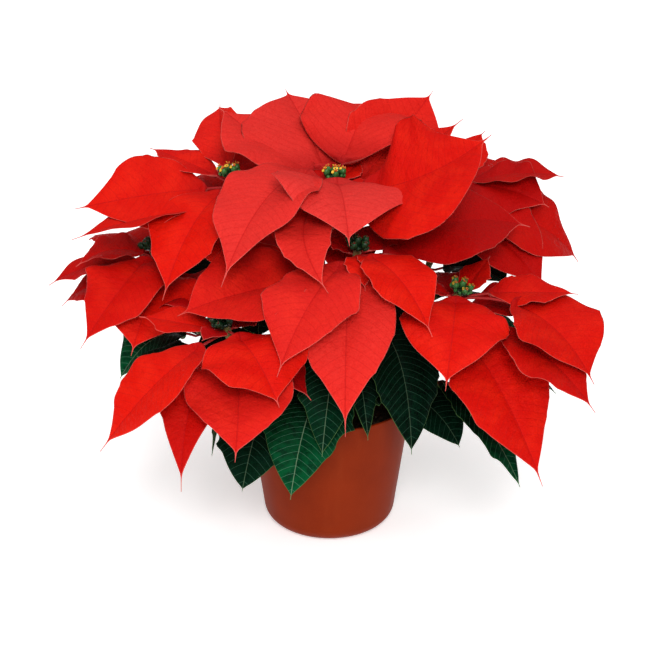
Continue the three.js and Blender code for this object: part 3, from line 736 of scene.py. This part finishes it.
def leaf_material():
    g = Graph("leaf_green", Specular_IOR_Level=0.025, Roughness=0.42)
    masks = blade_masks(g, vein_width=0.045, rib_low=0.1, rib_high=0.48)
    cloud = g.noise(masks.flat, 0.05, 3.0)
    mottle = g.noise(masks.flat, 0.6, 4.0)
    net, normal = blade_relief(g, masks, mottle, quilts=1.3)
    # The veins show more under painted light and less under painted shade.
    veins_by_painted_light = g.ramp(masks.tone, -1.0, 0.8, 0.22, 0.7)
    patches = g.ramp(g.noise(masks.flat, 0.11, 3.0), 0.35, 0.6, 0.75, 0.0)
    # Painted shade: each leaf darkens to nearly black towards its base, inside the bush.
    base = g.ramp(masks.share, 0.88, 0.42, 0.0, 0.9)
    # A lighter green random mottle, stronger where the leaf's table paints light on it.
    dapple = g.times(g.ramp(mottle, 0.4, 0.8), g.ramp(masks.tone, -0.6, 0.6, 0.1, 0.5))
    rim = g.times(g.ramp(masks.margin, 0.6, 0.1), 0.55)
    colour = g.mix(masks.tint, (0.0004, 0.014, 0.0060), (0.0008, 0.021, 0.0065))
    colour = g.layers(colour, [
        (g.ramp(cloud, 0.42, 0.75), (0.0008, 0.040, 0.018)),
        # Painted light in a lighter blue-green, and painted shade nearly black, as the leaf's table
        # says.
        (masks.bright, (0.0008, 0.120, 0.036)),
        (masks.shaded, (0.0002, 0.0022, 0.0012)),
        (patches, (0.0005, 0.012, 0.0060)),
        # The painted shade at the leaf's base.
        (base, (0.0002, 0.0035, 0.0018)),
        (dapple, (0.0015, 0.070, 0.016)),
        (g.times(net, 0.15), (0.005, 0.060, 0.024)),
        (g.times(masks.veins, veins_by_painted_light), (0.10, 0.27, 0.17)),
        (g.times(masks.rib, veins_by_painted_light), (0.20, 0.34, 0.20)),
        (rim, (0.12, 0.24, 0.07)),
        (g.times(masks.under, 0.7), (0.02, 0.07, 0.02)),
        (masks.stalk, (0.42, 0.035, 0.04)),
    ])
    g.let_light_through(0.06, colour)
    return g.finish(colour, g.ramp(mottle, 0.3, 0.7, 0.4, 0.52), normal)


def stem_material():
    g = Graph("stem_skin", Specular_IOR_Level=0.35, Roughness=0.5)
    height = g.node("SeparateXYZ", {"Vector": g.place()}).outputs[2]
    grain = g.noise(g.stretched(420.0, 420.0, 45.0), 1.0, 4.0)
    blush = g.times(g.ramp(height, 0.17, 0.25), 0.35)
    spots = g.ramp(g.cells(g.place(), 230.0), 0.2, 0.1)
    green = g.mix(grain, (0.04, 0.07, 0.010), (0.12, 0.14, 0.03))
    woody = g.mix(grain, (0.10, 0.06, 0.03), (0.24, 0.15, 0.07))
    colour = g.mix(g.ramp(height, 0.165, 0.11), green, woody)
    colour = g.mix(blush, colour, (0.30, 0.05, 0.03))
    colour = g.mix(g.times(spots, 0.6), colour, (0.40, 0.34, 0.18))
    return g.finish(colour, None, g.bump(g.math("ADD", grain, spots), 0.4, 0.5 * MM))


def by_ripeness(g, mottle, ripe_from, ripe_at, young, grown):
    """A mottle of two colours for buds and of two for open flowers, by how ripe the head is."""
    _, (ripe, up_cup, _) = g.field("state")
    colour = g.mix(g.ramp(ripe, ripe_from, ripe_at), g.mix(mottle, *young), g.mix(mottle, *grown))
    return colour, up_cup


def cup_material():
    g = Graph("cup_green", Specular_IOR_Level=0.3, Roughness=0.35)
    mottle = g.noise(g.place(), 500.0, 3.0)
    young = (0.0006, 0.004, 0.002), (0.006, 0.045, 0.014)
    grown = (0.008, 0.060, 0.012), (0.06, 0.23, 0.045)
    colour, up_cup = by_ripeness(g, mottle, 0.0, 0.5, young, grown)
    # Painted shade: each cup darkens to nearly black towards its foot, down among the other cups.
    colour = g.mix(g.ramp(up_cup, 0.8, 0.25, 0.0, 0.92), colour, (0.002, 0.012, 0.004))
    return g.finish(colour, None, g.bump(mottle, 0.3, 0.3 * MM))


def gland_material():
    g = Graph("gland_yellow", Specular_IOR_Level=0.5, Roughness=0.25)
    young = (0.004, 0.03, 0.008), (0.03, 0.10, 0.02)
    grown = (0.82, 0.38, 0.015), (0.86, 0.58, 0.05)
    colour, _ = by_ripeness(g, g.noise(g.place(), 600.0, 2.0), 0.1, 0.8, young, grown)
    return g.finish(colour)


def tuft_material():
    g = Graph("tuft_red", Specular_IOR_Level=0.4, Roughness=0.45)
    young = (0.12, 0.004, 0.008), (0.26, 0.012, 0.016)
    grown = (0.62, 0.05, 0.01), (0.82, 0.20, 0.03)
    colour, _ = by_ripeness(g, g.noise(g.place(), 700.0, 2.0), 0.0, 0.6, young, grown)
    return g.finish(colour)


def pot_material():
    g = Graph("pot_plastic", Specular_IOR_Level=0.06, Roughness=0.45)
    cloud = g.noise(g.place(), 14.0, 3.0)
    grain = g.noise(g.place(), 900.0, 3.0)
    wash = g.noise(g.stretched(60.0, 60.0, 6.0), 1.0, 4.0)
    speckle = g.times(g.ramp(grain, 0.5, 0.75), 0.35)
    streaks = g.times(g.ramp(wash, 0.5, 0.85), 0.25)
    colour = g.mix(g.ramp(cloud, 0.3, 0.7), (0.180, 0.0155, 0.0012), (0.225, 0.0210, 0.0022))
    colour = g.mix(speckle, colour, (0.27, 0.029, 0.004))
    colour = g.mix(streaks, colour, (0.26, 0.040, 0.010))
    rough = g.ramp(g.math("ADD", wash, g.times(grain, 0.3)), 0.4, 0.9, 0.44, 0.56)
    return g.finish(colour, rough, g.bump(g.math("ADD", g.times(grain, 0.5), cloud), 0.25, 0.3 * MM))


def soil_material():
    g = Graph("soil_crumb", Specular_IOR_Level=0.2, Roughness=0.95)
    grain = g.noise(g.place(), 260.0, 5.0, 0.7)
    bits = g.ramp(g.cells(g.place(), 150.0), 0.13, 0.09)
    colour = g.mix(g.ramp(grain, 0.35, 0.7), (0.010, 0.006, 0.004), (0.055, 0.032, 0.018))
    colour = g.mix(bits, colour, (0.22, 0.19, 0.15))
    return g.finish(colour, None, g.bump(grain, 0.9, 2 * MM))


# ---------------------------------------------------------------- pot, soil and stems
POT_STEPS = {"outer_corner": 14, "inner_corner": 10, "rim": 9, "around": 144, "drain": 28}
SOIL_STEPS = {"rings": 46, "innermost": 0.02, "outermost": 0.97, "around": 120}
SOIL_DEPTH = 12
SOIL_SEED = 5
CRUMBS = {"waves": 60, "rate": (0.4, 1.8), "height": 0.14, "at_rim": 0.3}


def corner_arc(flat, floor, radius, steps):
    taper = math.atan((POT["top"] - POT["base"]) / POT["height"])
    turns = np.linspace(0, math.pi / 2 - taper, steps + 1)
    return [(flat + radius * math.sin(a), floor + radius * (1 - math.cos(a))) for a in turns]


def pot_inner(z):
    return POT["base"] + (POT["top"] - POT["base"]) / POT["height"] * z - POT["wall"]


def pot_profile():
    """The pot's wall from the axis under its base, over the rim, to the axis on its floor."""
    flat = POT["base"] - POT["corner"]
    rim, lip, floor = POT["height"], POT["lip"], POT["floor"]
    outside = corner_arc(flat, 0, POT["corner"], POT_STEPS["outer_corner"])
    inside = corner_arc(flat, floor, POT["corner"] - POT["wall"], POT_STEPS["inner_corner"])[::-1]
    turns = np.linspace(0, math.pi, POT_STEPS["rim"])
    mid, thick = (POT["top"] + pot_inner(rim)) / 2, POT["wall"] / 2
    edge = [(mid + thick * math.cos(a), rim - lip + lip * math.sin(a)) for a in turns]
    return [(0, 0), (flat * 0.5, 0), *outside, *edge, *inside, (flat * 0.5, floor), (0, floor)]


def drill_drains(pot):
    """Cuts the drain holes and leaves their shape in the pot's own mesh."""
    cutters = Piece()
    for i in range(POT["drains"]):
        centre = level((i + 0.5) / POT["drains"] * FULL_TURN) * POT["drain_circle"]
        low, high = centre + [0, 0, -POT["floor"]], centre + [0, 0, 2 * POT["floor"]]
        cutters.add(*tube([low, high], [POT["drain_radius"]] * 2, POT_STEPS["drain"]))
    tool = add_object("drain_cutters", cutters.mesh("drain_cutters"))
    cut = pot.modifiers.new("drains", "BOOLEAN")
    cut.operation = "DIFFERENCE"
    cut.solver = "EXACT"
    cut.object = tool
    bpy.context.view_layer.update()
    drilled = pot.evaluated_get(bpy.context.evaluated_depsgraph_get())
    solid = bpy.data.meshes.new_from_object(drilled)
    pot.modifiers.clear()
    pot.data = solid
    bpy.data.objects.remove(tool)


def make_pot(material):
    pot = Piece()
    pot.add(*lathe(pot_profile(), POT_STEPS["around"]))
    drill_drains(pot.make("plant_pot", [material], ["pot"]))


def make_soil(material):
    top = POT["height"] - SOIL["below_rim"]
    edge = pot_inner(top) - GAP
    rng = np.random.default_rng(SOIL_SEED)
    rings = np.linspace(SOIL_STEPS["innermost"], SOIL_STEPS["outermost"], SOIL_STEPS["rings"])
    rings = np.concatenate([rings, [1.0]])
    turn = turns_round(SOIL_STEPS["around"])
    x, y = rings[:, None] * edge * np.cos(turn), rings[:, None] * edge * np.sin(turn)
    inside = 1 - smooth(SOIL["rim_band"], 1, rings)[:, None]
    lump = np.sin(LUMPS["along_x"] * x + LUMPS["shift"]) * np.cos(LUMPS["along_y"] * y)
    lump = lump + LUMPS["slant_share"] * np.sin(LUMPS["slant"] * (x - y))
    crumbs = np.zeros_like(x)
    for _ in range(CRUMBS["waves"]):
        direction, rate = rng.uniform(0, 6.28), rng.uniform(*CRUMBS["rate"])
        across = x * math.cos(direction) + y * math.sin(direction)
        crumbs += np.sin(rate * across + rng.uniform(0, 6))
    fade = CRUMBS["at_rim"] + (1 - CRUMBS["at_rim"]) * inside
    z = top + LUMPS["height"] * inside * lump + CRUMBS["height"] * crumbs * fade
    surface = np.stack([x, y, z], -1).reshape(-1, 3)
    low = np.stack([x[-1], y[-1], np.full(len(turn), top - SOIL_DEPTH)], -1)
    faces = [tuple(reversed(face)) for face in ring_faces(len(rings) + 1, len(turn))]
    soil = Piece()
    soil.add(np.concatenate([surface, low]), faces)
    soil.make("potting_soil", [material], ["soil"])


def trunk_tube():
    steps = np.linspace(0, 1, 20)
    heights = TRUNK["bottom"] + steps * (TRUNK["top"] - TRUNK["bottom"])
    centres = np.stack([0 * steps, 0 * steps, heights], 1)
    uneven = 1 + 0.05 * np.sin(19 * steps)
    shoulder = 1 - 0.25 * smooth(0.85, 1, steps)
    return tube(centres, TRUNK["radius"] * uneven * shoulder, around=20)


def branch_tube(head):
    """A branch and the straight axis that it ends in, thicker at its knots and under the head."""
    foot, thinner, neck, knot, knot_length = 3.25, 0.5, 0.55, 0.45, 0.012
    whole = AXIS["length"] + AXIS["above_head"]
    line = cubic(branch_points(head), np.linspace(0, 1, 46))
    axis = [on_axis(head, s * whole - AXIS["length"]) for s in np.linspace(0.03, 1, 22)]
    centres = np.concatenate([line, axis])
    share = np.linspace(0, 1, len(centres))
    knots = sum(bell(share - at, knot_length) for at in np.arange(0.16, 0.95, 0.11))
    radii = foot - thinner * smooth(0.1, 0.7, share) + neck * smooth(0.85, 1, share) + knot * knots
    return tube(centres, radii, around=16)


def make_stems(material):
    stems = Piece()
    stems.add(*trunk_tube())
    for head in HEADS:
        stems.add(*branch_tube(head))
    stems.make("plant_stems", [material], ["stems"])


# ---------------------------------------------------------------- bracts and leaves
# How far from its branch's centre line a leaf's stalk starts, as a share of the branch's radius.
LEAF_ROOT = 0.4


def make_bracts(head, material):
    whorl = Piece()
    for index, row in enumerate(BRACTS[head]):
        azimuth, reach, rise, width, arch, shoulder, roll, bend, attach, lobe, *unusual = row
        azimuth = math.radians(azimuth)
        tip = np.array(HEADS[head][0], float) + reach * level(azimuth) + [0, 0, rise]
        shape = (width, arch, shoulder, roll, bend, lobe)
        kind = {**BRACT_KIND, **dict(zip(("fold", "stalk"), unusual))}
        seed = BLADE_SEEDS["bract"] * head + index
        # This bract's painted light and shade, from -1 to 1.
        tone = BRACT_PAINTED_LIGHT_AND_SHADE[head][index]
        blade(whorl, on_axis(head, -attach), tip, azimuth, shape, kind, index, seed, tone)
    whorl.make(f"red_bracts_{head}", [material], [f"bracts_{head}"])


def make_leaf(index, material):
    branch, share, tip_x, tip_y, tip_z, *shape = LEAVES[index]
    line = branch_points(branch)
    stem = cubic(line, share)
    ahead = cubic_tangent(line, share)
    azimuth = math.atan2(tip_y - stem[1], tip_x - stem[0])
    away = level(azimuth)
    away = unit(away - away.dot(ahead) * ahead)
    foot = stem + away * (BRANCH["radius"] + STALK + LEAF_STAND_OFF)
    root = stem + away * BRANCH["radius"] * LEAF_ROOT
    leaf = Piece()
    tip, seed = (tip_x, tip_y, tip_z), BLADE_SEEDS["leaf"] + index
    # The leaf's painted light and shade comes from its table.
    blade(leaf, foot, tip, azimuth, shape, LEAF_KIND, index, seed, LEAF_PAINTED_LIGHT_AND_SHADE[index], root)
    number = f"{index + 1:02d}"
    leaf.make(f"green_leaf_{number}", [material], [f"leaf_{number}"])


# ---------------------------------------------------------------- flower cups
GREEN, YELLOW, RED = 0, 1, 2

# Profiles of (radius, height): a cup's and a gland's as shares of their size, the rest in millimetres.
CUP_BODY = [
    (0, 0), (0.62, 0.03), (0.86, 0.16), (1.0, 0.38), (0.97, 0.62), (0.8, 0.84), (0.58, 0.97),
    (0.42, 0.99), (0.3, 0.9), (0, 0.86),
]
GLAND_LIP = [
    (0, 0), (0.6, 0.05), (1.0, 0.45), (1.05, 0.75), (0.85, 0.95), (0.6, 0.7), (0.35, 0.4), (0, 0.35),
]
BEAD = [(0, -0.4), (0.4, -0.2), (0.45, 0.15), (0, 0.42)]
CUSHION = [(0, -1.5), (3.6, -1.2), (5.6, 0.6), (6.8, 2.0), (5.5, 3.0), (0, 3.4)]

MIDDLE_CUP = {"radius": 2.9, "height": 8.5}
OUTER_CUP = {"radius": 2.75, "height": 7.2}
BUDS = 9
THREADS = 7
CUP_SEED = 400


def turn_about_z(angle):
    c, s = math.cos(angle), math.sin(angle)
    return np.array([[c, -s, 0], [s, c, 0], [0, 0, 1]])


def turn_about_y(angle):
    c, s = math.cos(angle), math.sin(angle)
    return np.array([[c, 0, s], [0, 1, 0], [-s, 0, c]])


def add_body(cluster, ripe, place, radius, height, rng):
    """A ribbed green cup, which its material darkens towards the foot with painted shade."""
    matrix, shift = place
    profile = [(radius * r, height * z) for r, z in CUP_BODY]
    start = rng.uniform(0, 6)

    def five_ribs(turn):
        return 1 + 0.06 * np.cos(5 * turn + start)

    points, faces = lathe(profile, 18, place, five_ribs)
    up_cup = (points - shift) @ matrix[:, 2] / height
    state = np.stack([np.full(len(points), ripe), up_cup, 0 * up_cup], 1)
    cluster.add(points, faces, material=GREEN, state=state)


def add_gland(cluster, ripe, turn, place, radius, height):
    """A yellow gland with two lips, which hangs on a cup's side and swells as it ripens."""
    matrix, shift = place
    facing = matrix @ turn_about_z(turn)
    size = 1.0 + 0.9 * ripe
    profile = [(size * r, size * z) for r, z in GLAND_LIP]
    seat = facing @ np.array([radius * 0.62, 0, height * 0.76]) + shift
    hang = facing @ turn_about_y(0.7) @ np.diag([0.75, 1.25, 1.0])
    cluster.add(*lathe(profile, 14, (hang, seat)), material=YELLOW, state=[ripe, 1, 0])


def add_tuft(cluster, ripe, place, radius, height, rng):
    """Short red threads out of a cup's mouth, some with a yellow bead of pollen."""
    matrix, shift = place
    for k in range(THREADS):
        way = level(k / THREADS * FULL_TURN + rng.uniform(-0.3, 0.3))
        out = rng.uniform(0.25, 0.6) * radius
        rise = rng.uniform(1.2, 2.6) * (0.2 + 0.8 * ripe)
        low = 0.4 * out * way + [0, 0, height * 0.88]
        high = out * way + [0, 0, height * 0.95 + rise]
        line = np.array([low, (low + high) / 2 + [0, 0, 0.3], high]) @ matrix.T + shift
        cluster.add(*tube(line, [0.26, 0.22, 0.34], 6), material=RED, state=[ripe, 1, 0])
        if k % 3 == 0:
            cluster.add(*lathe(BEAD, 8, (matrix, line[-1])), material=YELLOW, state=[ripe, 1, 0])


def add_cup(cluster, ripe, turn, place, radius, height, rng):
    """One open cyathium: a cup, the gland on its side and the tuft in its mouth."""
    add_body(cluster, ripe, place, radius, height, rng)
    add_gland(cluster, ripe, turn, place, radius, height)
    add_tuft(cluster, ripe, place, radius, height, rng)


def make_cups(head, materials):
    cluster = Piece()
    ripe = RIPE[head]
    rng = np.random.default_rng(CUP_SEED + head)
    upright = standing(axis_of(head))
    origin = on_axis(head, AXIS["above_head"] + GAP)

    def placed(circle, turn, bottom, lean):
        out = level(turn)
        tilt = standing([lean * out[0], lean * out[1], 1])
        return upright @ tilt, upright @ (circle * out + [0, 0, bottom]) + origin

    cluster.add(*lathe(CUSHION, 24, (upright, origin)), material=GREEN, state=[ripe, 0, 0])
    bottom = CUPS["base"] - CUPS["sunk"]
    middle = placed(0, 0, bottom, lean=0)
    add_cup(cluster, ripe, head, middle, MIDDLE_CUP["radius"], MIDDLE_CUP["height"], rng)
    for i in range(1, CUPS["count"]):
        turn = i / (CUPS["count"] - 1) * FULL_TURN + CUPS["turn_by_head"] * head
        rise = CUPS["stagger"] * math.sin(CUPS["stagger_rate"] * i + head)
        place = placed(CUPS["circle"], turn, bottom + rise, lean=0.28)
        add_cup(cluster, ripe, 0.0, place, OUTER_CUP["radius"], OUTER_CUP["height"], rng)
    for i in range(BUDS):
        turn = i / BUDS * FULL_TURN + rng.uniform(-0.2, 0.2)
        place = placed(rng.uniform(6.0, 7.4), turn, rng.uniform(0.2, 1.6), lean=0.7)
        radius, height = rng.uniform(1.2, 1.8), rng.uniform(3.0, 4.6)
        add_body(cluster, ripe, place, radius, height, rng)
    cluster.make(f"flower_cups_{head}", materials, [f"cyathia_{head}"])


# ---------------------------------------------------------------- camera, floor and light
VIEW = {"down": 24.5, "distance": 1530, "target": (-2, 0, 175.5), "half_width": 271.1}
WHITE = (1, 1, 1)
FLOOR = {"half_width": 25.0, "glow": 0.45, "white": (0.93, 0.93, 0.93)}
SKY_STRENGTH = 0.2
# The plant's middle in metres, which the lamps are turned to.
MIDDLE = (0, 0, 0.2)


def make_camera():
    down = math.radians(VIEW["down"])
    data = bpy.data.cameras.new("camera")
    data.sensor_fit = "HORIZONTAL"
    data.angle = 2 * math.atan(VIEW["half_width"] / VIEW["distance"])
    data.clip_end = 20
    camera = add_object("camera", data)
    x, y, z = VIEW["target"]
    far = VIEW["distance"]
    camera.location = (x * MM, (y - far * math.cos(down)) * MM, (z + far * math.sin(down)) * MM)
    camera.rotation_euler = (math.pi / 2 - down, 0, 0)
    bpy.context.scene.camera = camera


def make_floor():
    mesh = bpy.data.meshes.new("floor")
    far = FLOOR["half_width"]
    corners = [(-far, -far, 0), (far, -far, 0), (far, far, 0), (-far, far, 0)]
    mesh.from_pydata(corners, [], [(0, 1, 2, 3)])
    g = Graph("floor_white", Roughness=0.9, Specular_IOR_Level=0.0, Emission_Color=WHITE)
    g.put(g.shader.inputs["Emission Strength"], FLOOR["glow"])
    mesh.materials.append(g.finish(FLOOR["white"]))
    floor = add_object("floor", mesh)


def aim(name, data, place):
    """Adds a lamp at a place in metres, with its light turned to the plant's middle."""
    light = add_object(name, data)
    light.location = place
    matrix = standing(unit(np.array(place, float) - np.array(MIDDLE, float)))
    light.rotation_euler = Matrix(matrix.tolist()).to_euler()


def area_light(name, place, size, power):
    data = bpy.data.lights.new(name, "AREA")
    data.shape = "DISK"
    data.size = size
    data.energy = power
    aim(name, data, place)


def sun_light(name, place, spread, strength):
    data = bpy.data.lights.new(name, "SUN")
    data.angle = math.radians(spread)
    data.energy = strength
    aim(name, data, place)


def make_light():
    world = bpy.data.worlds.new("studio")
    bpy.context.scene.world = world
    world.use_nodes = True
    background = world.node_tree.nodes["Background"]
    background.inputs["Color"].default_value = (*WHITE, 1.0)
    background.inputs["Strength"].default_value = SKY_STRENGTH
    sun_light("overhead", (0.2, 0.1, 4.0), spread=80, strength=1.8)
    area_light("key", (0.2, -2.6, 2.2), size=1.2, power=66)
    area_light("fill", (-2.4, -1.4, 1.2), size=1.6, power=14)
    bpy.context.scene.view_settings.view_transform = "Standard"


# ---------------------------------------------------------------- the whole plant
make_camera()
make_pot(pot_material())
make_soil(soil_material())
make_stems(stem_material())
red, green = bract_material(), leaf_material()
flower_materials = [cup_material(), gland_material(), tuft_material()]
for head in HEADS:
    make_bracts(head, red)
    make_cups(head, flower_materials)
for index in range(len(LEAVES)):
    make_leaf(index, green)
make_floor()
make_light()
